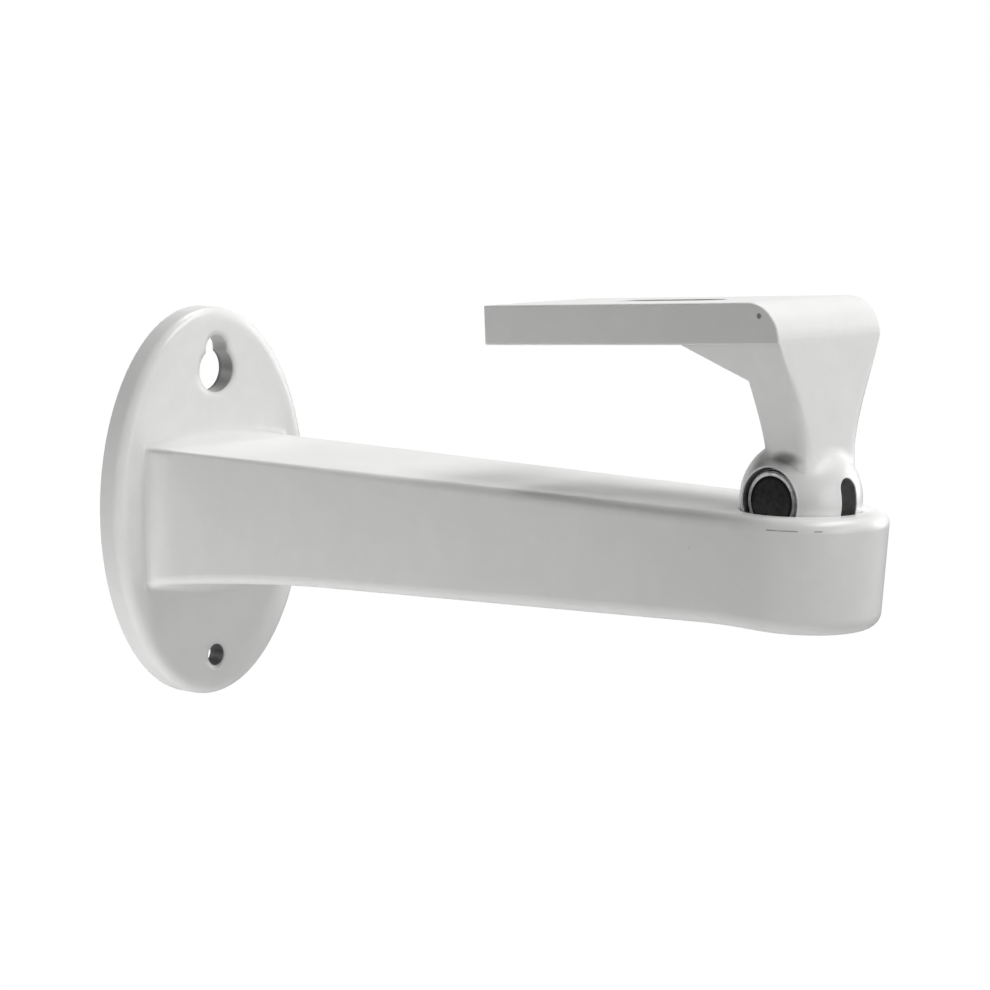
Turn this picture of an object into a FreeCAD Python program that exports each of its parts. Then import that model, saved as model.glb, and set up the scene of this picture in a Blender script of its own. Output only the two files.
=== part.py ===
import FreeCAD, Part
import math
import os

# Camera wall bracket: a cast arm with an oval wall plate, and a swivel head whose slotted ball sits in
# a seat on the arm's end. A bolt from below draws the ball into the seat through a cross pin.
# Millimetres. The origin is the centre of the wall plate's back, +X runs out along the arm, +Z is up.

# How far the shapes that cut or trim run past what they cut
cut_margin = 3.0

# Wall plate
plate_height = 92.0
plate_width = 59.6
plate_thickness = 7.0
plate_web = 5.0
plate_rim = 3.6
plate_edge_radius = 2.6
keyhole_above_centre = 31.3
keyhole_diameter = 10.6
keyhole_slot_width = 6.6
keyhole_slot_rise = 5.0
screw_hole_below_centre = 36.5
screw_hole_diameter = 5.2

# Arm, with its heights measured from the plate's centre
arm_length = 200.0
arm_root_width = 43.0
arm_root_top = 14.5
arm_root_bottom = 17.8
arm_tip_width = 36.0
arm_tip_top = 15.9
arm_tip_foot_width = 32.8
arm_tip_foot = 7.85
arm_waist_length = 32.0
arm_waist_bottom = 7.3
arm_knee_length = 58.0
arm_knee_bottom = 12.1
knee_handle = 32.0
waist_handle = 11.0
foot_handle = 13.0
arm_wall = 3.5
arm_solid_end = 42.0
cavity_corner_radius = 3.0
root_top_edge_radius = 0.4
tip_top_edge_radius = 2.6
root_bottom_edge_radius = 2.2
tip_bottom_edge_radius = 3.4

# Flare where the arm joins the plate: how far each side stands out at the plate, and its bow
flare_length = 11.0
flare_side = 0.3
flare_side_bow = 0.4
flare_top = 0.0
flare_top_bow = 2.6
flare_bottom = 1.0
flare_bottom_bow = 2.4
flare_sink = 0.6
flare_low_corner = 2.0
flare_high_corner = 0.5
# Each pair is a share of the flare's length and the share of its spread that is left there
flare_shape = ((0.0, 1.0), (0.12, 0.56), (0.3, 0.25), (0.6, 0.06), (1.0, 0.02))

# Ball joint
ball_diameter = 24.8
ball_above_arm = 2.2
seat_clearance = 0.3
seat_web = 3.7
seat_chamfer = 0.4
pin_diameter = 13.2
pin_clearance = 0.4
pin_recess = 0.7
pin_chamfer = 0.7
bolt_diameter = 4.0
bolt_clearance = 0.4
bolt_past_pin_axis = 3.4
thread_clearance = 0.05
bolt_head_diameter = 7.0
bolt_head_height = 4.0
bolt_socket_width = 3.0
bolt_socket_depth = 2.0
washer_diameter = 9.0
washer_thickness = 0.8
spring_washer_diameter = 7.6
spring_washer_thickness = 1.0
spring_washer_gap = 0.7
washer_clearance = 0.15
recess_clearance = 0.3
slot_front_deg = 9.5
slot_back_deg = 20.0

# Swivel head, measured from the ball's centre with the camera plate level
head_width = 33.0
head_thickness = 8.4
head_top = 40.1
head_reach = 70.6
head_front = 8.7
head_bend_radius = 7.5
head_edge_radius = 0.4
neck_front = 7.9
neck_back = 1.6
neck_top_width = 32.6
neck_width = 17.4
neck_waist_height = 8.0
neck_edge_radius = 2.0
gusset_length = 14.8
gusset_height = 7.3
camera_slot_width = 6.6
camera_slot_length = 28.0
camera_slot_from_end = 38.0
rest_tilt_deg = 3.9
# The flank's curve leaves the camera plate at this share of its height and of its narrowing
flank_leave_height = 0.32
flank_leave_inset = 0.36
# and runs upright into the waist from this share of its height
flank_arrive_height = 0.72

# Places that follow from the sizes
tip_radius = arm_tip_width / 2
ball_radius = ball_diameter / 2
ball_x = arm_length - tip_radius
ball_z = arm_tip_top + ball_above_arm
web_back = plate_thickness - plate_web
waist_x = arm_length - arm_waist_length
knee_x = plate_thickness + arm_knee_length
seat_radius = ball_radius + seat_clearance
recess_floor = ball_z - seat_radius - seat_web
washer_bottom = recess_floor - washer_thickness
bolt_seat = washer_bottom - spring_washer_thickness
pin_bore_radius = pin_diameter / 2 + pin_clearance
bolt_slot_width = bolt_diameter + 2 * bolt_clearance

X_AXIS = FreeCAD.Vector(1, 0, 0)
Y_AXIS = FreeCAD.Vector(0, 1, 0)
Z_AXIS = FreeCAD.Vector(0, 0, 1)
BALL_CENTRE = FreeCAD.Vector(ball_x, 0, ball_z)


def vec(x, y, z):
    return FreeCAD.Vector(x, y, z)


def line(start, end):
    return Part.LineSegment(start, end).toShape()


def arc(start, middle, end):
    return Part.Arc(start, middle, end).toShape()


def polygon(points):
    return Part.makePolygon(points + [points[0]])


def prism(wire, along):
    return Part.Face(wire).extrude(along)


def upright(radius, bottom, top, x):
    """A cylinder along Z between two heights."""
    return Part.makeCylinder(radius, top - bottom, vec(x, 0, bottom), Z_AXIS)


def fillet_edges(solid, radii):
    """Round edges with a radius at each end; radii holds (edge number, first radius, last radius)."""
    document = FreeCAD.newDocument("rounding")
    base = document.addObject("Part::Feature", "base")
    base.Shape = solid
    rounded = document.addObject("Part::Fillet", "rounded")
    rounded.Base = base
    rounded.Edges = radii
    document.recompute()
    shape = rounded.Shape.copy()
    FreeCAD.closeDocument(document.Name)
    return shape


def oval(height, width, x):
    """The wire of an upright ellipse at x."""
    ellipse = Part.Ellipse(vec(x, 0, height / 2), vec(x, width / 2, 0), vec(x, 0, 0))
    return Part.Wire(ellipse.toShape())


def wall_plate():
    """The oval plate with a rounded front edge and a shallow hollow behind its rim."""
    disc = prism(oval(plate_height, plate_width, 0), X_AXIS * plate_thickness)
    front = [e for e in disc.Edges if e.BoundBox.XMin > plate_thickness / 2]
    disc = disc.makeFillet(plate_edge_radius, front)
    hollow = oval(plate_height - 2 * plate_rim, plate_width - 2 * plate_rim, 0)
    return disc.cut(prism(hollow, X_AXIS * web_back))


def arm_outline(z, root_half, radius):
    """The arm seen from above: straight tapering sides, tangent to a round end."""
    run = ball_x - plate_thickness
    lean = math.asin(radius / math.hypot(run, root_half)) - math.atan2(root_half, run)
    tangent_x = ball_x - radius * math.sin(lean)
    tangent_y = radius * math.cos(lean)
    start_y = tangent_y - (tangent_x - web_back) * math.tan(lean)
    near_root = vec(web_back, -start_y, z)
    near_tangent = vec(tangent_x, -tangent_y, z)
    far_root = vec(web_back, start_y, z)
    far_tangent = vec(tangent_x, tangent_y, z)
    return Part.Wire([
        line(near_root, near_tangent),
        arc(near_tangent, vec(ball_x + radius, 0, z), far_tangent),
        line(far_tangent, far_root),
        line(far_root, near_root),
    ])


def arm_top_at(x):
    return arm_root_top + (arm_tip_top - arm_root_top) * (x - plate_thickness) / (ball_x - plate_thickness)


def arm_bottom_at(x):
    """Height of the straight stretch of the underside, between the knee and the waist."""
    return -arm_knee_bottom + (arm_knee_bottom - arm_waist_bottom) * (x - knee_x) / (waist_x - knee_x)


def arm_profile():
    """The arm seen from the side: a straight top, and an underside that rises and then dips at the end."""
    depth = arm_root_width + arm_tip_width
    end_x = arm_length + cut_margin

    def at(x, z):
        return vec(x, -depth / 2, z)

    dip = Part.BezierCurve()
    dip.setPoles([
        at(waist_x, -arm_waist_bottom),
        at(waist_x + waist_handle, arm_bottom_at(waist_x + waist_handle)),
        at(end_x - foot_handle, -arm_tip_foot),
        at(end_x, -arm_tip_foot),
    ])
    root_curve = Part.BezierCurve()
    root_curve.setPoles([
        at(plate_thickness, -arm_root_bottom),
        at(plate_thickness + knee_handle, arm_bottom_at(plate_thickness + knee_handle)),
        at(knee_x, -arm_knee_bottom),
    ])
    side = Part.Wire([
        line(at(web_back, arm_top_at(web_back)), at(end_x, arm_top_at(end_x))),
        line(at(end_x, arm_top_at(end_x)), at(end_x, -arm_tip_foot)),
        dip.toShape(),
        line(at(waist_x, -arm_waist_bottom), at(knee_x, -arm_knee_bottom)),
        root_curve.toShape(),
        line(at(plate_thickness, -arm_root_bottom), at(web_back, -arm_root_bottom)),
        line(at(web_back, -arm_root_bottom), at(web_back, arm_top_at(web_back))),
    ])
    return prism(side, Y_AXIS * depth)


def graded_radii(body, on_top, root_radius, tip_radius_there):
    """Edge numbers of the arm's top or bottom rim, with radii that grow from the wall to the tip."""
    def turn(point):
        return math.atan2(point.y, point.x - ball_x / 2)

    def radius_at(point):
        share = (point.x - web_back) / (ball_x - web_back)
        return root_radius + (tip_radius_there - root_radius) * min(1, share)

    radii = []
    forward = None
    for number, edge in enumerate(body.Edges, 1):
        box = edge.BoundBox
        upper = box.ZMin > -arm_waist_bottom / 2
        lower = box.ZMax < arm_root_top / 2
        if box.XLength < 1 or not (upper if on_top else lower):
            continue
        start = edge.valueAt(edge.FirstParameter)
        end = edge.valueAt(edge.LastParameter)
        if forward is None:
            forward = turn(end) > turn(start)
        first, last = sorted((start, end), key=turn, reverse=not forward)
        radii.append((number, radius_at(first), radius_at(last)))
    return radii


def arm_body():
    """The arm's outside: a drafted plan shape cut to the side profile, with rounded long edges."""
    draft = (arm_tip_width - arm_tip_foot_width) / 2 / (arm_tip_top + arm_tip_foot)
    above = arm_tip_top + cut_margin
    below = max(arm_root_bottom, arm_tip_foot) + cut_margin
    top_wire = arm_outline(above, arm_root_width / 2, tip_radius + draft * (above - arm_tip_top))
    foot_wire = arm_outline(-below, arm_root_width / 2, tip_radius - draft * (below + arm_tip_top))
    body = Part.makeLoft([foot_wire, top_wire], True, True).common(arm_profile())
    radii = graded_radii(body, True, root_top_edge_radius, tip_top_edge_radius)
    radii += graded_radii(body, False, root_bottom_edge_radius, tip_bottom_edge_radius)
    return fillet_edges(body, radii)


def arm_half_at(x):
    """Half the arm's width near the wall."""
    share = (x - plate_thickness) / (ball_x - plate_thickness)
    return (arm_root_width + (arm_tip_foot_width - arm_root_width) * share) / 2


def cross_section(x, half, bottom, top, low_radius, high_radius, bows):
    """A section across the arm with rounded corners. bows are for its sides, its top and its bottom."""
    side_bow, top_bow, bottom_bow = bows
    short = 1 - math.sqrt(0.5)
    middle = (bottom + top) / 2

    def corner(side, level, radius, outer_z):
        on_side = vec(x, side * half, outer_z - level * radius)
        inset = radius * short
        through = vec(x, side * (half - inset), outer_z - level * inset)
        on_top = vec(x, side * (half - radius), outer_z)
        return [on_side, through, on_top]

    def bowed(start, end, through, bow):
        return arc(start, through, end) if bow else line(start, end)

    near_high = corner(-1, 1, high_radius, top)
    far_high = corner(1, 1, high_radius, top)
    near_low = corner(-1, -1, low_radius, bottom)
    far_low = corner(1, -1, low_radius, bottom)
    return Part.Wire([
        bowed(near_low[0], near_high[0], vec(x, -half - side_bow, middle), side_bow),
        arc(*near_high),
        bowed(near_high[2], far_high[2], vec(x, 0, top + top_bow), top_bow),
        arc(*reversed(far_high)),
        bowed(far_high[0], far_low[0], vec(x, half + side_bow, middle), side_bow),
        arc(*far_low),
        bowed(far_low[2], near_low[2], vec(x, 0, bottom - bottom_bow), bottom_bow),
        arc(*reversed(near_low)),
    ])


def flare_section(along, spread):
    """A section of the flare, its sides pushed out and bowed by a share of its spread at the plate."""
    x = plate_thickness + flare_length * along
    sink = flare_sink * along
    root_slope = (arm_root_bottom + arm_bottom_at(plate_thickness + knee_handle)) / knee_handle
    return cross_section(
        x,
        arm_half_at(x) + flare_side * spread - sink,
        -arm_root_bottom + root_slope * flare_length * along - flare_bottom * spread + sink,
        arm_top_at(x) + flare_top * spread - sink,
        flare_low_corner, flare_high_corner,
        [bow * spread for bow in (flare_side_bow, flare_top_bow, flare_bottom_bow)],
    )


def root_flare():
    """The smooth flare that joins the arm to the plate's face, rooted half way into the plate."""
    flare = Part.makeLoft([flare_section(along, spread) for along, spread in flare_shape], True, False)
    root = Part.Face(flare_section(*flare_shape[0])).extrude(X_AXIS * -plate_web / 2)
    return flare.fuse(root)


def arm_cavity():
    """The tapered hollow inside the arm, open at the wall."""
    sections = []
    for x in (web_back - cut_margin, arm_length - arm_solid_end):
        sections.append(cross_section(
            x, arm_half_at(x) - arm_wall, arm_bottom_at(x) + arm_wall, arm_top_at(x) - arm_wall,
            cavity_corner_radius, cavity_corner_radius, (0, 0, 0),
        ))
    return Part.makeLoft(sections, True, True)


def through_plate(radius, z):
    """A cylinder through the wall plate at a height."""
    return Part.makeCylinder(radius, plate_thickness + 2 * cut_margin, vec(-cut_margin, 0, z), X_AXIS)


def keyhole():
    """The hanging hole: a round hole for the screw's head, with a narrower slot above it."""
    round_hole = through_plate(keyhole_diameter / 2, keyhole_above_centre)
    slot_end = through_plate(keyhole_slot_width / 2, keyhole_above_centre + keyhole_slot_rise)
    slot = Part.makeBox(
        plate_thickness + 2 * cut_margin, keyhole_slot_width, keyhole_slot_rise,
        vec(-cut_margin, -keyhole_slot_width / 2, keyhole_above_centre),
    )
    return round_hole.fuse([slot_end, slot]).removeSplitter()


def seat_cut():
    """The spherical seat in the arm's end, with a small chamfer round its mouth."""
    seat = Part.makeSphere(seat_radius, BALL_CENTRE)
    mouth = math.sqrt(seat_radius ** 2 - ball_above_arm ** 2)
    chamfer = Part.makeCone(
        mouth, mouth + 2 * seat_chamfer, 2 * seat_chamfer,
        vec(ball_x, 0, arm_tip_top - seat_chamfer), Z_AXIS,
    )
    return seat.fuse(chamfer)


def wall_arm():
    """The arm casting: wall plate, hollow arm, ball seat and the recess for the bolt."""
    screw_hole = through_plate(screw_hole_diameter / 2, -screw_hole_below_centre)
    bolt_hole = upright(bolt_diameter / 2 + recess_clearance, -arm_tip_foot, ball_z, ball_x)
    recess_bottom = -arm_tip_foot - cut_margin
    recess = upright(washer_diameter / 2 + recess_clearance, recess_bottom, recess_floor, ball_x)
    casting = arm_body().fuse(root_flare()).fuse(wall_plate())
    return casting.cut([arm_cavity(), keyhole(), screw_hole, seat_cut(), bolt_hole, recess])


def head_section():
    """The head seen from the side: the camera plate, its bend and the back of the neck."""
    top = head_top
    under = head_top - head_thickness
    bend_x = head_front - head_bend_radius
    bend_z = top - head_bend_radius
    lean = head_bend_radius * math.sqrt(0.5)
    return Part.Wire([
        line(vec(-head_reach, 0, top), vec(bend_x, 0, top)),
        arc(vec(bend_x, 0, top), vec(bend_x + lean, 0, bend_z + lean), vec(head_front, 0, bend_z)),
        line(vec(head_front, 0, bend_z), vec(head_front, 0, under)),
        line(vec(head_front, 0, under), vec(-head_reach, 0, under)),
        line(vec(-head_reach, 0, under), vec(-head_reach, 0, top)),
    ])


def camera_plate():
    """The flat plate that carries the camera, with its rounded bend at the front."""
    plate = prism(head_section(), Y_AXIS * head_width)
    plate.translate(Y_AXIS * (-head_width / 2))
    across = [e for e in plate.Edges if e.BoundBox.YLength > head_width / 2]
    rims = [e for e in plate.Edges if e.BoundBox.YLength < head_width / 2]
    ends = [e for e in across if e.BoundBox.XMax < -head_reach / 2]
    return plate.makeFillet(head_edge_radius, rims + ends)


def flank(side, under, back_x):
    """One edge of the neck seen from the front, from the camera plate down to the waist."""
    drop = under - neck_waist_height
    half_top = neck_top_width / 2
    half_waist = neck_width / 2
    leave_half = half_top - flank_leave_inset * (half_top - half_waist)
    curve = Part.BezierCurve()
    curve.setPoles([
        vec(back_x, side * half_top, under),
        vec(back_x, side * leave_half, under - flank_leave_height * drop),
        vec(back_x, side * half_waist, under - flank_arrive_height * drop),
        vec(back_x, side * half_waist, neck_waist_height),
    ])
    return curve.toShape()


def neck():
    """The neck and its gusset: the side shape, trimmed to a waist that narrows to the ball."""
    under = head_top - head_thickness
    side = polygon([
        vec(head_front, -head_width, under),
        vec(neck_front, -head_width, 0),
        vec(-neck_back, -head_width, 0),
        vec(-neck_back, -head_width, under - gusset_height),
        vec(-neck_back - gusset_length, -head_width, under),
    ])
    half_top = neck_top_width / 2
    half_waist = neck_width / 2
    back_x = -head_reach
    front = Part.Wire([
        flank(-1, under, back_x),
        line(vec(back_x, -half_waist, neck_waist_height), vec(back_x, -half_waist, 0)),
        line(vec(back_x, -half_waist, 0), vec(back_x, half_waist, 0)),
        line(vec(back_x, half_waist, 0), vec(back_x, half_waist, neck_waist_height)),
        flank(1, under, back_x),
        line(vec(back_x, half_top, under), vec(back_x, -half_top, under)),
    ])
    body = prism(side, Y_AXIS * 2 * head_width).common(prism(front, X_AXIS * 2 * head_reach))
    radii = []
    for number, edge in enumerate(body.Edges, 1):
        box = edge.BoundBox
        if box.XMin < neck_front / 2 or box.ZLength < box.YLength:
            continue
        start = edge.valueAt(edge.FirstParameter).z
        end = edge.valueAt(edge.LastParameter).z
        radii.append((number, neck_radius_at(start, under), neck_radius_at(end, under)))
    return fillet_edges(body, radii)


def neck_radius_at(z, under):
    """The neck's front edges are crisp at the camera plate and soft from the waist down."""
    share = min(1, (under - z) / (under - neck_waist_height))
    return head_edge_radius + (neck_edge_radius - head_edge_radius) * share


def bolt_slot():
    """The slot that lets the ball turn past the bolt, from behind the foot to above the front."""
    reach = 2 * ball_radius
    half = bolt_slot_width / 2
    start = vec(-math.sin(math.radians(slot_back_deg)), 0, -math.cos(math.radians(slot_back_deg)))
    end = vec(math.cos(math.radians(slot_front_deg)), 0, math.sin(math.radians(slot_front_deg)))
    blade = polygon([
        vec(0, -half, 0), vec(0, half, 0),
        start * reach + Y_AXIS * half, start * reach - Y_AXIS * half,
    ])
    sweep = 90 + slot_back_deg + slot_front_deg
    swept = Part.Face(blade).revolve(vec(0, 0, 0), Y_AXIS, -sweep)
    ends = [Part.makeCylinder(half, reach, vec(0, 0, 0), way) for way in (start, end)]
    return swept.fuse(ends)


def camera_slot():
    """The slot through the camera plate for the camera's screw."""
    middle_x = -head_reach + camera_slot_from_end
    straight = camera_slot_length - camera_slot_width
    low = head_top - head_thickness - cut_margin
    high = head_top + cut_margin
    slot = Part.makeBox(
        straight, camera_slot_width, high - low,
        vec(middle_x - straight / 2, -camera_slot_width / 2, low),
    )
    ends = [
        upright(camera_slot_width / 2, low, high, middle_x + side * straight / 2) for side in (-1, 1)
    ]
    return slot.fuse(ends).removeSplitter()


def swivel_head():
    """The head casting: camera plate, neck and slotted ball, turned to its rest tilt."""
    ball = Part.makeSphere(ball_radius, vec(0, 0, 0))
    cross_bore = Part.makeCylinder(
        pin_bore_radius, ball_diameter + 2 * cut_margin, vec(0, -ball_radius - cut_margin, 0), Y_AXIS
    )
    casting = camera_plate().fuse([neck(), ball]).removeSplitter()
    casting = casting.cut([cross_bore, bolt_slot(), camera_slot()])
    casting.rotate(vec(0, 0, 0), Y_AXIS, -rest_tilt_deg)
    casting.translate(BALL_CENTRE)
    return casting


def cross_pin():
    """The round nut across the ball: chamfered ends and a threaded hole for the bolt."""
    half_length = math.sqrt(ball_radius ** 2 - pin_bore_radius ** 2) - pin_recess
    radius = pin_diameter / 2
    pin = Part.makeCylinder(radius, 2 * half_length, vec(ball_x, -half_length, ball_z), Y_AXIS)
    rims = [e for e in pin.Edges if e.BoundBox.YLength < half_length]
    pin = pin.makeChamfer(pin_chamfer, rims)
    return pin.cut(upright(
        bolt_diameter / 2 + thread_clearance, ball_z - pin_diameter, ball_z + pin_diameter, ball_x
    ))


def lock_bolt():
    """The hex socket bolt that comes up through the seat and the slot into the cross pin."""
    head_bottom = bolt_seat - bolt_head_height
    head = upright(bolt_head_diameter / 2, head_bottom, bolt_seat, ball_x)
    shank = upright(bolt_diameter / 2, bolt_seat, ball_z + bolt_past_pin_axis, ball_x)
    corner = bolt_socket_width / math.sqrt(3)
    corners = []
    for i in range(6):
        turn = math.radians(60 * i)
        corners.append(vec(ball_x + corner * math.cos(turn), corner * math.sin(turn), head_bottom))
    return head.fuse(shank).cut(prism(polygon(corners), Z_AXIS * bolt_socket_depth))


def flat_washer():
    outer = upright(washer_diameter / 2, washer_bottom, recess_floor, ball_x)
    return outer.cut(upright(bolt_diameter / 2 + washer_clearance, washer_bottom, recess_floor, ball_x))


def spring_washer():
    """A split ring, cut through on a slant and drawn flat by the bolt."""
    outer = upright(spring_washer_diameter / 2, bolt_seat, washer_bottom, ball_x)
    ring = outer.cut(upright(bolt_diameter / 2 + washer_clearance, bolt_seat, washer_bottom, ball_x))
    lean = spring_washer_thickness / 2
    gap = spring_washer_gap / 2
    split = prism(polygon([
        vec(ball_x, -lean - gap, bolt_seat),
        vec(ball_x, -lean + gap, bolt_seat),
        vec(ball_x, lean + gap, washer_bottom),
        vec(ball_x, lean - gap, washer_bottom),
    ]), X_AXIS * spring_washer_diameter)
    return ring.cut(split)


NODES = {
    "wall_arm": wall_arm,
    "swivel_head": swivel_head,
    "cross_pin": cross_pin,
    "lock_bolt": lock_bolt,
    "flat_washer": flat_washer,
    "spring_washer": spring_washer,
}

os.makedirs("parts", exist_ok=True)
for node, make in NODES.items():
    solid = make()
    solid.exportStep("parts/" + node + ".step")
    print(node, "valid", solid.isValid(), "solids", len(solid.Solids), "volume", round(solid.Volume, 1))
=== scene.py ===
import bpy
from mathutils import Matrix, Vector


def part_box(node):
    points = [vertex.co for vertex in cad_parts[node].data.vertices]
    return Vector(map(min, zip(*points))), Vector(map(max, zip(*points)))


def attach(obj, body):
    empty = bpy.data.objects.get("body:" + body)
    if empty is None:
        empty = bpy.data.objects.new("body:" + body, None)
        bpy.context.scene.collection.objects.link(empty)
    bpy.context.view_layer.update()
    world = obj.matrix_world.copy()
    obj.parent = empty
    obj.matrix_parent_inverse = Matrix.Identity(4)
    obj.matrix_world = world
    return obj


# Looks of the camera wall bracket: painted castings, turned steel pin, plated bolt and its washers.
# Everything is in metres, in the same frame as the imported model.

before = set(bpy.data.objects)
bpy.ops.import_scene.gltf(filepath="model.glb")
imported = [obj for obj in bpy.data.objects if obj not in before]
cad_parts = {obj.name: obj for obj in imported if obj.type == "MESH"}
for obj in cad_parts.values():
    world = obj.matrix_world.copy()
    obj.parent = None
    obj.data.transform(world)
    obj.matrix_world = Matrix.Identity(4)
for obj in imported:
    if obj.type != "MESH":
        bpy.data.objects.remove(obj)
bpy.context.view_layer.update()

MM = 0.001

# Marks on the head, a dark fleck and two patches of painted shade: where each one's middle is, and how
# far it spreads
HEAD_FLECK = (183.5 * MM, -16.5 * MM, 55.7 * MM)
HEAD_FLECK_SPREAD = (0.55 * MM,) * 3
SHADE_IN_CREASE = (184.8 * MM, -8.4 * MM, 27.0 * MM)
SHADE_IN_CREASE_SPREAD = (5.0 * MM, 3.2 * MM, 1.9 * MM)
SHADE_ABOVE_PIN = (176.6 * MM, -9.0 * MM, 24.0 * MM)
SHADE_ABOVE_PIN_SPREAD = (6.6 * MM, 6.0 * MM, 6.6 * MM)

# The parting line round the arm's end: its height, its fading half width, and its two stretches along X
PARTING_HEIGHT = 13.75 * MM
PARTING_FADE = (0.2 * MM, 0.05 * MM)
PARTING_STRETCHES = ((186.9 * MM, 192.6 * MM), (195.0 * MM, 196.1 * MM))

# The wall plate's holes: each centre's height, and how far from it the hole's wall reaches
KEYHOLE_ROUND = (31.3 * MM, 5.36 * MM)
KEYHOLE_SLOT = (36.3 * MM, 3.4 * MM)
SCREW_HOLE = (-36.5 * MM, 2.66 * MM)
HOLES_END = 6.7 * MM
# Where the painted shadow along the keyhole's back edge fades out, measured from the back of the plate
KEYHOLE_BACK_SHADOW = (3.4 * MM, 2.1 * MM)

# The ball: how far from its centre everything is machined and coloured dark as painted shade, and the
# painted highlight round its cross bore
MACHINED_REACH = 12.15 * MM
BORE_HIGHLIGHT_INSIDE = 6.9 * MM
BORE_HIGHLIGHT_FADE = (7.45 * MM, 7.25 * MM)

# The painted highlight round the ball's seat, and the height above which it lies
SEAT_HIGHLIGHT_INSIDE = 12.3 * MM
SEAT_HIGHLIGHT_FADE = (13.4 * MM, 13.1 * MM)
SEAT_HIGHLIGHT_HEIGHT = 15.0 * MM

# The corner between the arm's sides and the wall plate, where painted light lifts the crease's shade
ARM_SIDE = 22.1 * MM
ARM_MIDDLE_HEIGHT = -1.7 * MM
PLATE_FRONT = 6.5 * MM

# The pin's face, from its axis: where the dark deepens, the ring painted near white as a glint, and the
# bare barrel, painted just as bright
PIN_DEEPER_DARK = (4.2 * MM, 5.3 * MM)
PIN_GLINT_START = (5.2 * MM, 5.4 * MM)
PIN_GLINT_END = (6.35 * MM, 6.15 * MM)
PIN_BARREL = 6.5 * MM

# How wide the edges are softened: everywhere, where castings run into each other, and on plated steel
EDGE_RADIUS = 0.35 * MM
BLEND_RADIUS = 2.8 * MM
PLATED_EDGE_RADIUS = 0.15 * MM

# The ridges round the bolt's head
RIDGE_COUNT = 30
RIDGE_INSET = 0.08 * MM
RIDGE_HEIGHT = 3.0 * MM
RIDGE_RADIUS = 0.22 * MM
RIDGE_MIDDLE = 2.1 * MM

# The room: how white gloss shows it and where that fades towards the ceiling, and the floor
MIRRORED_WHITE = 0.71
CEILING_FADE = (0.6, 0.3)
FLOOR_HEIGHT = -0.45
FLOOR_REACH = 30.0
FLOOR_GREY = 0.5
FLOOR_GLOW = 1.13
FLOOR_GLOW_SHARE = 0.9

# Each lamp: where it hangs, its size, its power and whether gloss shows it. All aim at LAMP_AIM.
LAMP_AIM = (0.11, 0, 0)
LAMPS = {
    "overhead_softbox": ((0.469, 0.419, 1.086), (0.42, 0.42), 4.8, True),
    "overhead_right": ((0.708, 0.0, 1.06), (0.42, 0.42), 5.8, True),
    "overhead_wall": ((-0.252, 0.362, 1.105), (0.42, 0.42), 6.4, True),
    "right_softbox": ((1.304, 0.0, 0.139), (0.6, 0.6), 4.3, True),
    "far_side_softbox": ((0.467, 1.132, 0.199), (0.6, 0.6), 4.1, True),
    "wall_side_fill": ((-1.021, 0.396, 0.077), (0.6, 0.6), 4.8, True),
    "low_front_fill": ((0.08, -0.45, -0.4), (0.3, 0.3), 1.6, False),
    "near_root_fill": ((-0.02, -0.22, -0.12), (0.15, 0.15), 0.21, False),
}

# The photograph's viewpoint
CAMERA_PLACE = (0.616287, -0.549991, 0.109144)
CAMERA_RIGHT = (0.72631248, 0.68727993, 0.01079265)
CAMERA_UP = (-0.09671192, 0.08663396, 0.99153485)
CAMERA_AHEAD = (-0.68052699, 0.72120791, -0.12939149)
SENSOR_MM = 36.0
LENS_MM = 127.27

# The ball joint's centre, where the pin and the bolt cross
pin_low, pin_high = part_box("cross_pin")
ball_centre = (pin_low + pin_high) / 2
bolt_low, bolt_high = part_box("lock_bolt")


class Link:
    """An output of a node. Signs between links and numbers add Math nodes to the same tree."""

    def __init__(self, tree, socket):
        self.tree = tree
        self.socket = socket

    def __add__(self, other):
        return self.tree.maths("ADD", self, other)

    __radd__ = __add__

    def __sub__(self, other):
        return self.tree.maths("SUBTRACT", self, other)

    def __rsub__(self, other):
        return self.tree.maths("SUBTRACT", other, self)

    def __mul__(self, other):
        return self.tree.maths("MULTIPLY", self, other)

    def __pow__(self, other):
        return self.tree.maths("POWER", self, other)

    def __abs__(self):
        return self.tree.maths("ABSOLUTE", self)

    def above(self, edge):
        return self.tree.maths("GREATER_THAN", self, edge)

    def below(self, edge):
        return self.tree.maths("LESS_THAN", self, edge)

    def rise(self, start, end):
        """0 below start, 1 above end, and smooth between them. With start above end it falls."""
        return self.tree.node(
            "ShaderNodeMapRange", {"interpolation_type": "SMOOTHSTEP"},
            {"Value": self, "From Min": start, "From Max": end}, "Result",
        )


class Tree:
    """Adds nodes to a shader tree or a geometry tree."""

    def __init__(self, tree):
        self.tree = tree

    def node(self, kind, settings, inputs, output=0):
        """A new node of that kind. Its settings come first, then its sockets' values or links."""
        made = self.tree.nodes.new(kind)
        for name, value in settings.items():
            setattr(made, name, value)
        for name, value in inputs.items():
            socket = made.inputs[name]
            if isinstance(value, Link):
                self.tree.links.new(value.socket, socket)
            else:
                socket.default_value = value
        return Link(self, made.outputs[output]) if made.outputs else made

    def maths(self, operation, *values):
        return self.node("ShaderNodeMath", {"operation": operation}, dict(enumerate(values)))

    def larger(self, first, second):
        return self.maths("MAXIMUM", first, second)

    def smaller(self, first, second):
        return self.maths("MINIMUM", first, second)

    def vector(self, operation, first, second, output="Vector"):
        return self.node("ShaderNodeVectorMath", {"operation": operation}, {0: first, 1: second}, output)

    def also(self, link, output):
        """Another output of the node that a link comes from."""
        return Link(self, link.socket.node.outputs[output])


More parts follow.
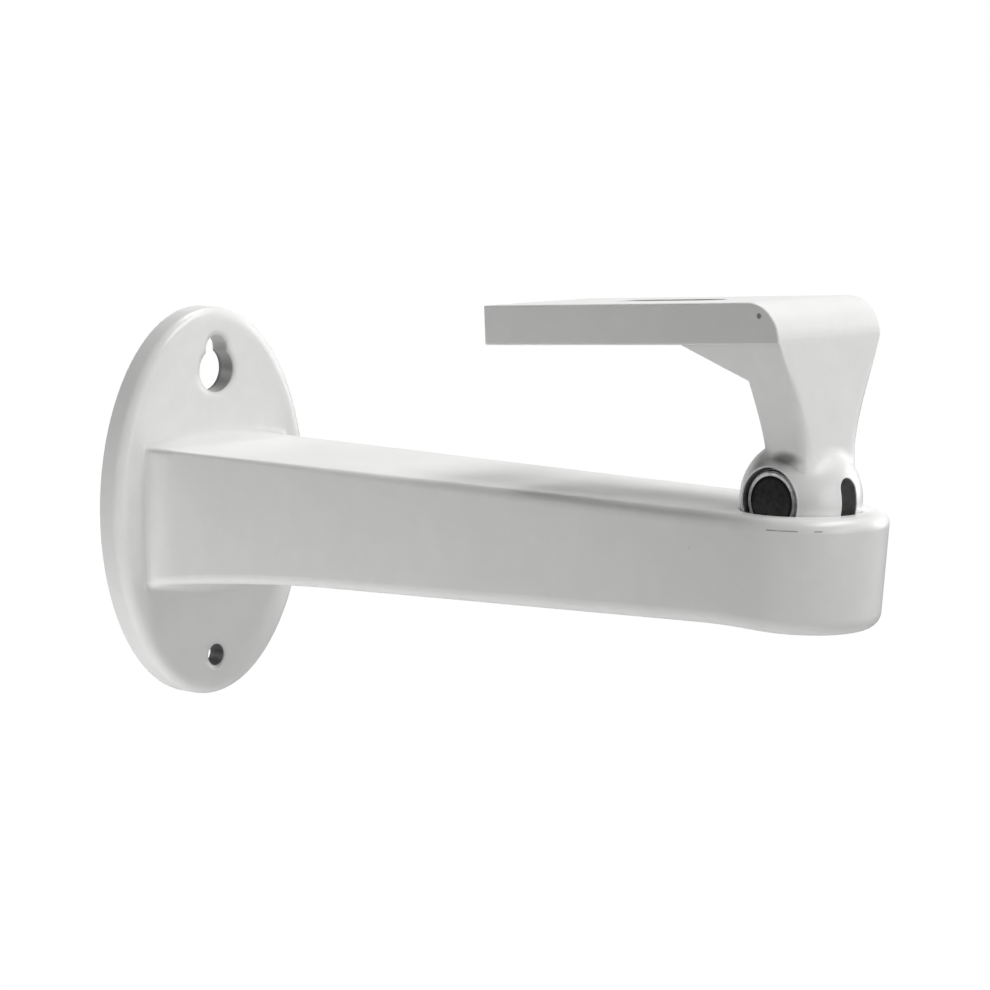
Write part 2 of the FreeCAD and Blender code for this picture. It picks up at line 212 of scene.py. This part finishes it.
class Finish(Tree):
    """A material of the bracket, built on object coordinates. Noise scales are per metre."""

    def __init__(self, name):
        self.material = bpy.data.materials.new(name)
        self.material.use_nodes = True
        self.material.node_tree.nodes.clear()
        super().__init__(self.material.node_tree)
        self.place = self.node("ShaderNodeTexCoord", {}, {}, "Object")
        self.x = self.node("ShaderNodeSeparateXYZ", {}, {0: self.place}, "X")
        self.y = self.also(self.x, "Y")
        self.z = self.also(self.x, "Z")

    def noise(self, scale, detail, roughness=0.5, where=None):
        return self.node(
            "ShaderNodeTexNoise", {},
            {"Vector": where or self.place, "Scale": scale, "Detail": detail, "Roughness": roughness},
            "Fac",
        )

    def mix(self, factor, first, second):
        """Blends two colours by a factor."""
        return self.node(
            "ShaderNodeMix", {"data_type": "RGBA"},
            {"Factor": factor, 6: first, 7: second}, 2,
        )

    def bevel(self, radius, samples):
        """The normal, softened as far as the radius from an edge."""
        return self.node("ShaderNodeBevel", {"samples": samples}, {"Radius": radius}, "Normal")

    def bump(self, height, distance, strength, normal=None):
        inputs = {"Height": height, "Distance": distance, "Strength": strength}
        if normal:
            inputs["Normal"] = normal
        return self.node("ShaderNodeBump", {}, inputs, "Normal")

    def edges(self, radius, low, high):
        """The softened normal near edges, and a mask that is 1 along them."""
        soft = self.bevel(radius, 6)
        true = self.node("ShaderNodeNewGeometry", {}, {}, "Normal")
        match = self.vector("DOT_PRODUCT", soft, true, "Value")
        return soft, (1 - match).rise(low, high)

    def surface(self, inputs):
        shader = self.node("ShaderNodeBsdfPrincipled", {}, inputs, "BSDF")
        self.node("ShaderNodeOutputMaterial", {}, {"Surface": shader})
        return self.material


def grey(level, warmth=0.0):
    return (level, level, level * (1 - warmth), 1.0)


def patch(f, middle, spread):
    """How far a place lies from the middle of an oval patch, where 1 is the patch's edge."""
    scaled = f.vector("DIVIDE", f.vector("SUBTRACT", f.place, middle), spread)
    return f.node("ShaderNodeVectorMath", {"operation": "LENGTH"}, {0: scaled}, "Value")


def marks_and_shade_on_head(f):
    """A dark fleck near the bend, and painted shade in the crease where the neck meets the ball and on
    the ball above the pin.
    """
    fleck = patch(f, HEAD_FLECK, HEAD_FLECK_SPREAD).rise(1.35, 0.65)
    edge = f.noise(320, 2.0) * 0.35
    crease = (patch(f, SHADE_IN_CREASE, SHADE_IN_CREASE_SPREAD) + edge).rise(1.2, 0.4)
    shade_on_ball = (patch(f, SHADE_ABOVE_PIN, SHADE_ABOVE_PIN_SPREAD) + edge).rise(1.3, 0.6)
    return f.larger(fleck * 0.8, f.larger(crease * 0.74, shade_on_ball * 0.55))


def parting_line(f):
    """The casting's fine parting line round the arm's end, which shows in two short stretches."""
    line = abs(f.z - PARTING_HEIGHT).rise(*PARTING_FADE)
    first, second = (f.x.above(start) * f.x.below(end) for start, end in PARTING_STRETCHES)
    uneven = f.noise(500, 2.0).rise(0.25, 0.6)
    return line * (first + second) * (uneven * 0.35 + 0.3) * f.y.below(0.0)


def hole_wall(f, height, reach):
    """1 within reach of a hole's axis, which runs through the wall plate at that height."""
    up = f.z - height
    return (f.y * f.y + up * up).below(reach ** 2)


def bore_walls_of_arm(f):
    """The walls of the wall plate's holes: painted shade in the keyhole, darkest along its back edge, and
    bare metal darkened as painted shade in the small hole.
    """
    back_shadow = f.x.rise(*KEYHOLE_BACK_SHADOW)
    keyhole_shade = hole_wall(f, *KEYHOLE_ROUND) * (0.5 + back_shadow * 0.5) + hole_wall(f, *KEYHOLE_SLOT) * 0.12
    return f.smaller(keyhole_shade + hole_wall(f, *SCREW_HOLE), 1.0) * f.x.below(HOLES_END)


def bore_walls_of_head(f):
    """Everything machined inside the ball, the cross bore and the bolt's slot: bare metal, coloured dark
    as painted shade.
    """
    return f.vector("DISTANCE", f.place, tuple(ball_centre), "Value").below(MACHINED_REACH)


def pin_radius_at(f):
    """Distance from the axis of the pin."""
    across = f.x - ball_centre.x
    up = f.z - ball_centre.z
    return (across * across + up * up) ** 0.5


def highlight_round_bore(f):
    """A painted highlight round the ball's cross bore."""
    out = pin_radius_at(f)
    return out.rise(*BORE_HIGHLIGHT_FADE) * out.above(BORE_HIGHLIGHT_INSIDE) * f.y.below(0.0)


def painted_light_of_arm(f):
    """A painted highlight round the ball's seat, and painted light in the corners at the arm's foot,
    lifting their shade.
    """
    across = f.x - ball_centre.x
    out = (across * across + f.y * f.y) ** 0.5
    seat_highlight = out.rise(*SEAT_HIGHLIGHT_FADE) * out.above(SEAT_HIGHLIGHT_INSIDE) * f.z.above(SEAT_HIGHLIGHT_HEIGHT) * 0.8
    beside = abs(abs(f.y) - ARM_SIDE).rise(0.75 * MM, 0.35 * MM)
    lit_corner = beside * f.x.rise(8.0 * MM, 7.3 * MM) * f.x.above(PLATE_FRONT)
    return f.larger(seat_highlight, lit_corner * abs(f.z - ARM_MIDDLE_HEIGHT).rise(18 * MM, 15 * MM))


def soft_neck(f):
    """Where the casting's neck runs softly into the ball, and its front corners above that."""
    up = f.z - ball_centre.z
    ahead = f.x - ball_centre.x
    foot = patch(f, tuple(ball_centre), (1 * MM,) * 3).rise(17.0, 14.5) * up.rise(6.0 * MM, 7.5 * MM)
    corners = up.rise(7.5 * MM, 10 * MM) * up.rise(29.0 * MM, 22.0 * MM) * ahead.rise(-1 * MM, 2 * MM)
    return f.larger(foot, corners)


def foot_of_arm(f):
    """Where the arm's flare runs softly into the wall plate."""
    beside = abs(f.y).rise(29 * MM, 26.5 * MM)
    return beside * f.x.rise(6.8 * MM, 7.0 * MM) * f.x.rise(20 * MM, 12 * MM)


def white_paint(name, marks_and_shade_of, bare_and_painted_light, blend, painted_light):
    """Semi-gloss white paint over a casting: orange peel, faint waviness, rare flecks, edges darkened as
    wear and painted shade.

    The last four are functions that give masks: dark marks and painted shade, bare metal and painted
    shade, widely softened edges, and painted highlights and light.
    """
    f = Finish(name)
    crisp, edge = f.edges(EDGE_RADIUS, 0.03, 0.25)
    melted = f.bevel(BLEND_RADIUS, 8)
    soft = f.node("ShaderNodeMix", {"data_type": "VECTOR"}, {"Factor": blend(f), 4: crisp, 5: melted}, 1)
    broad = f.noise(38, 2.0)
    mottle = f.noise(150, 3.0, 0.6)
    peel = f.noise(1100, 2.0, 0.4)
    grain = f.noise(4200, 1.0)
    cells = f.node(
        "ShaderNodeTexVoronoi", {"feature": "F1"},
        {"Vector": f.place, "Scale": 95.0, "Randomness": 1.0}, "Distance",
    )
    pick = f.node("ShaderNodeSeparateColor", {}, {0: f.also(cells, "Color")}, "Red")
    flecks = cells.below(0.02) * pick.above(0.9)
    # Edges darkened in broken stretches: partly wear, partly painted shade on the edge roundings
    edge_wear_and_shade = edge * mottle.rise(0.45, 0.62)
    marks_and_shade = f.larger(flecks * 0.2, marks_and_shade_of(f))
    bare_metal_and_shade = bare_and_painted_light(f)
    paint = f.mix(mottle.rise(0.3, 0.75), grey(0.815, 0.01), grey(0.845, 0.008))
    paint = f.mix(broad.rise(0.35, 0.7) * 0.35, paint, grey(0.79, 0.02))
    paint = f.mix(edge_wear_and_shade * 0.35, paint, grey(0.62, 0.01))
    # Dark marks, and on the head painted shade in the neck's crease and above the pin
    paint = f.mix(marks_and_shade, paint, grey(0.1, 0.05))
    # Painted highlights, and on the arm painted light in the foot's corners
    paint = f.mix(painted_light(f), paint, grey(0.97))
    # Bare metal in holes and bores, coloured dark as painted shade; in the keyhole it is painted shade
    # only
    paint = f.mix(bare_metal_and_shade, paint, f.mix(peel, grey(0.22), grey(0.34)))
    height = peel * 0.6 + grain * 0.12 + broad * 3.0
    return f.surface({
        "Base Color": paint,
        "Roughness": 0.27 + mottle * 0.08 + marks_and_shade * 0.4 + bare_metal_and_shade * 0.2,
        "Metallic": bare_metal_and_shade * 0.6,
        "Normal": f.bump(height, 0.05 * MM, 0.6, soft),
        "IOR": 1.5,
    })


def turned_steel():
    """The pin: dark blued faces with fine turning marks. A ring near the edge and the bare barrel are
    coloured near white, a painted glint.
    """
    f = Finish("turned_dark_steel")
    radius = pin_radius_at(f)
    turned = f.noise(60000, 1.0, 0.5, f.node("ShaderNodeCombineXYZ", {}, {"X": radius * 0.2}))
    wear = f.noise(900, 3.0, 0.6)
    glint_ring = radius.rise(*PIN_GLINT_START) * radius.rise(*PIN_GLINT_END)
    bare_and_painted_light = f.larger(glint_ring, radius.above(PIN_BARREL))
    dark = f.mix(wear.rise(0.3, 0.7), grey(0.045), grey(0.07))
    dark = f.mix(radius.rise(*PIN_DEEPER_DARK), dark, grey(0.01))
    # Near white broken by noise: a painted glint on the ring and the barrel
    glint_white = f.mix(f.noise(420, 2.0).rise(0.35, 0.6), grey(0.6), grey(0.98))
    return f.surface({
        "Base Color": f.mix(bare_and_painted_light, dark, glint_white),
        "Metallic": 1.0 - bare_and_painted_light,
        "Roughness": 0.42 - bare_and_painted_light * 0.12 + wear * 0.08,
        "Normal": f.bump(turned + wear * 0.5, 0.02 * MM, 0.6),
    })


def zinc_plate():
    """Plated steel of the bolt and washers: brushed, with a slight bluish and yellowish cast."""
    f = Finish("zinc_plate")
    cloud = f.noise(420, 3.0, 0.6)
    brushed = f.noise(2600, 2.0)
    soft, edge = f.edges(PLATED_EDGE_RADIUS, 0.03, 0.3)
    plate = f.mix(cloud, (0.52, 0.54, 0.57, 1), (0.64, 0.63, 0.60, 1))
    return f.surface({
        "Base Color": f.mix(edge * 0.6, plate, grey(0.72)),
        "Metallic": 1.0,
        "Roughness": 0.28 + cloud * 0.18,
        "Normal": f.bump(brushed, 0.01 * MM, 0.5, soft),
    })


def ridged_rim(material):
    """A geometry tree that stands small ridges round the bolt's head, all of one size."""
    group = bpy.data.node_groups.new("ridged_rim", "GeometryNodeTree")
    face = group.interface
    for name, kind in (
        ("Ridges", "NodeSocketInt"), ("Radius", "NodeSocketFloat"), ("Height", "NodeSocketFloat"),
        ("Ridge radius", "NodeSocketFloat"), ("Centre", "NodeSocketVector"),
    ):
        face.new_socket(name, in_out="INPUT", socket_type=kind)
    face.new_socket("Geometry", in_out="OUTPUT", socket_type="NodeSocketGeometry")
    t = Tree(group)
    given = t.node("NodeGroupInput", {}, {}, "Ridges")
    circle = t.node(
        "GeometryNodeMeshCircle", {},
        {"Vertices": given, "Radius": t.also(given, "Radius")}, "Mesh",
    )
    ridge = t.node(
        "GeometryNodeMeshCylinder", {},
        {"Vertices": 8, "Radius": t.also(given, "Ridge radius"), "Depth": t.also(given, "Height")},
        "Mesh",
    )
    stood = t.node(
        "GeometryNodeInstanceOnPoints", {}, {"Points": circle, "Instance": ridge}, "Instances",
    )
    placed = t.node(
        "GeometryNodeTransform", {},
        {"Geometry": stood, "Translation": t.also(given, "Centre")}, "Geometry",
    )
    whole = t.node("GeometryNodeRealizeInstances", {}, {"Geometry": placed}, "Geometry")
    finished = t.node(
        "GeometryNodeSetMaterial", {}, {"Geometry": whole, "Material": material}, "Geometry",
    )
    t.node("NodeGroupOutput", {}, {"Geometry": finished})
    return group


def grown(name, group, values):
    """Runs a geometry tree and keeps what it makes as a plain mesh piece."""
    seed = bpy.data.objects.new(name + "_seed", bpy.data.meshes.new(name + "_seed"))
    bpy.context.scene.collection.objects.link(seed)
    grower = seed.modifiers.new("grow", "NODES")
    grower.node_group = group
    for item in group.interface.items_tree:
        if item.in_out == "INPUT":
            grower[item.identifier] = values[item.name]
    depsgraph = bpy.context.evaluated_depsgraph_get()
    mesh = bpy.data.meshes.new_from_object(seed.evaluated_get(depsgraph))
    mesh.name = name
    bpy.data.objects.remove(seed)
    piece = bpy.data.objects.new(name, mesh)
    bpy.context.scene.collection.objects.link(piece)
    return piece


def lamp(name, place, size, watts, mirrored):
    light = bpy.data.lights.new(name, "AREA")
    light.shape = "RECTANGLE"
    light.size, light.size_y = size
    light.energy = watts
    holder = bpy.data.objects.new(name, light)
    holder.location = place
    holder.rotation_euler = (Vector(LAMP_AIM) - Vector(place)).to_track_quat("-Z", "Y").to_euler()
    holder.visible_glossy = mirrored
    holder.visible_camera = False
    bpy.context.scene.collection.objects.link(holder)


def background():
    """White where it is looked at. Gloss shows it greyer, and darker still towards the ceiling."""
    world = bpy.data.worlds.new("white_room")
    bpy.context.scene.world = world
    world.use_nodes = True
    world.node_tree.nodes.clear()
    t = Tree(world.node_tree)
    ray = t.node("ShaderNodeLightPath", {}, {}, "Is Camera Ray")
    looked_at = t.smaller(ray + t.also(ray, "Is Transmission Ray"), 1.0)
    towards = t.node("ShaderNodeTexCoord", {}, {}, "Generated")
    height = t.node("ShaderNodeSeparateXYZ", {}, {0: towards}, "Z")
    mirrored = t.also(ray, "Is Glossy Ray") * height.rise(*CEILING_FADE) * MIRRORED_WHITE
    shade = t.node("ShaderNodeBackground", {}, {"Color": grey(1.0), "Strength": looked_at + mirrored})
    t.node("ShaderNodeOutputWorld", {}, {"Surface": shade})


def floor():
    """A large pale floor well below the bracket. It is seen white, with the bracket's faint shadow."""
    mesh = bpy.data.meshes.new("floor")
    corners = [(-FLOOR_REACH, -FLOOR_REACH), (FLOOR_REACH, -FLOOR_REACH),
               (FLOOR_REACH, FLOOR_REACH), (-FLOOR_REACH, FLOOR_REACH)]
    mesh.from_pydata([(x, y, FLOOR_HEIGHT) for x, y in corners], [], [(0, 1, 2, 3)])
    obj = bpy.data.objects.new("floor", mesh)
    bpy.context.scene.collection.objects.link(obj)
    material = bpy.data.materials.new("pale_floor")
    material.use_nodes = True
    material.node_tree.nodes.clear()
    t = Tree(material.node_tree)
    ray = t.node("ShaderNodeLightPath", {}, {}, "Is Camera Ray")
    under = t.node("ShaderNodeNewGeometry", {}, {}, "Backfacing")
    matt = t.node("ShaderNodeBsdfDiffuse", {}, {"Color": grey(FLOOR_GREY)})
    white = t.node("ShaderNodeEmission", {}, {"Color": grey(1.0), "Strength": FLOOR_GLOW})
    clear = t.node("ShaderNodeBsdfTransparent", {}, {})
    shown = t.node("ShaderNodeMixShader", {}, {0: ray * FLOOR_GLOW_SHARE, 1: matt, 2: white})
    top_only = t.node("ShaderNodeMixShader", {}, {0: under, 1: shown, 2: clear})
    t.node("ShaderNodeOutputMaterial", {}, {"Surface": top_only})
    mesh.materials.append(material)


def camera():
    """The photograph's viewpoint: a long lens, a little above the bracket and to its right."""
    data = bpy.data.cameras.new("photo_camera")
    data.sensor_width = SENSOR_MM
    data.lens = LENS_MM
    data.clip_start = 0.01
    data.clip_end = 100.0
    obj = bpy.data.objects.new("photo_camera", data)
    turn = Matrix((Vector(CAMERA_RIGHT), Vector(CAMERA_UP), -Vector(CAMERA_AHEAD))).transposed().to_4x4()
    obj.matrix_world = Matrix.Translation(CAMERA_PLACE) @ turn
    bpy.context.scene.collection.objects.link(obj)
    bpy.context.scene.camera = obj


arm_paint = white_paint("arm_white_paint", parting_line, bore_walls_of_arm, foot_of_arm, painted_light_of_arm)
head_paint = white_paint("head_white_paint", marks_and_shade_on_head, bore_walls_of_head, soft_neck, highlight_round_bore)
steel = turned_steel()
zinc = zinc_plate()

for node, finish in {
    "wall_arm": arm_paint, "swivel_head": head_paint, "cross_pin": steel,
    "lock_bolt": zinc, "flat_washer": zinc, "spring_washer": zinc,
}.items():
    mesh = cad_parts[node].data
    mesh.materials.clear()
    mesh.materials.append(finish)

# Ridges round the bolt's head, for the fingers
head_radius = (bolt_high.x - bolt_low.x) / 2
knurl = grown("bolt_knurl", ridged_rim(zinc), {
    "Ridges": RIDGE_COUNT,
    "Radius": head_radius - RIDGE_INSET,
    "Height": RIDGE_HEIGHT,
    "Ridge radius": RIDGE_RADIUS,
    "Centre": (ball_centre.x, 0, bolt_low.z + RIDGE_MIDDLE),
})
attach(knurl, "clamp")

for name, settings in LAMPS.items():
    lamp(name, *settings)
background()
floor()
camera()
bpy.context.scene.view_settings.view_transform = "Standard"
